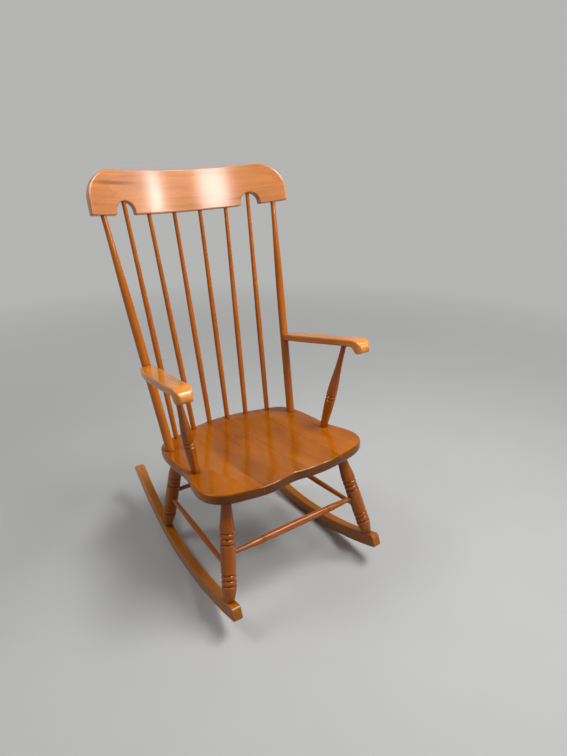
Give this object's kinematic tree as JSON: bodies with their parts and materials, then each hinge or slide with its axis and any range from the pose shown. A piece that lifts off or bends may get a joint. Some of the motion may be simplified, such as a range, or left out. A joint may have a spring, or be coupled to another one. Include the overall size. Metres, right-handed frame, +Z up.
{
  "type": "rocking chair",
  "caption": "Wooden armchair on curved rockers, with a shaped seat, a fan of slender spindles and a wide bent crest rail.",
  "frame": {"origin": "on the floor, under the centre of the bounding box, midway between the rockers", "axes": "+Z up, the chair faces -Y, +X is the sitter's left-hand side"},
  "size_m": [0.586, 0.7075, 1.0698],
  "materials": {
    "seat_wood": "glossy clear lacquer over honey-stained maple",
    "crest_wood": "glossy clear lacquer over honey-stained maple",
    "arm_wood": "glossy clear lacquer over honey-stained maple",
    "turned_wood": "glossy clear lacquer over honey-stained maple",
    "rocker_wood": "glossy clear lacquer over honey-stained maple",
    "screw_steel": "plain zinc-plated steel"
  },
  "bodies": {
    "root": {"crest_rail": "crest_wood", "crest_pins": "turned_wood", "arm_screws": "screw_steel", "arm_screw_plugs": "turned_wood", "rocker_screws": "screw_steel", "front_stretcher": "turned_wood", "rear_stretcher": "turned_wood", "seat_board_1": "seat_wood", "seat_board_2": "seat_wood", "seat_board_3": "seat_wood", "seat_board_4": "seat_wood", "left_rocker": "rocker_wood", "left_front_leg": "turned_wood", "left_rear_leg": "turned_wood", "left_side_stretcher": "turned_wood", "left_back_post": "turned_wood", "left_spindle_1": "turned_wood", "left_spindle_2": "turned_wood", "left_spindle_3": "turned_wood", "left_arm": "arm_wood", "left_arm_post": "turned_wood", "right_rocker": "rocker_wood", "right_front_leg": "turned_wood", "right_rear_leg": "turned_wood", "right_side_stretcher": "turned_wood", "right_back_post": "turned_wood", "right_spindle_1": "turned_wood", "right_spindle_2": "turned_wood", "right_spindle_3": "turned_wood", "right_arm": "arm_wood", "right_arm_post": "turned_wood"}
  },
  "joints": []
}
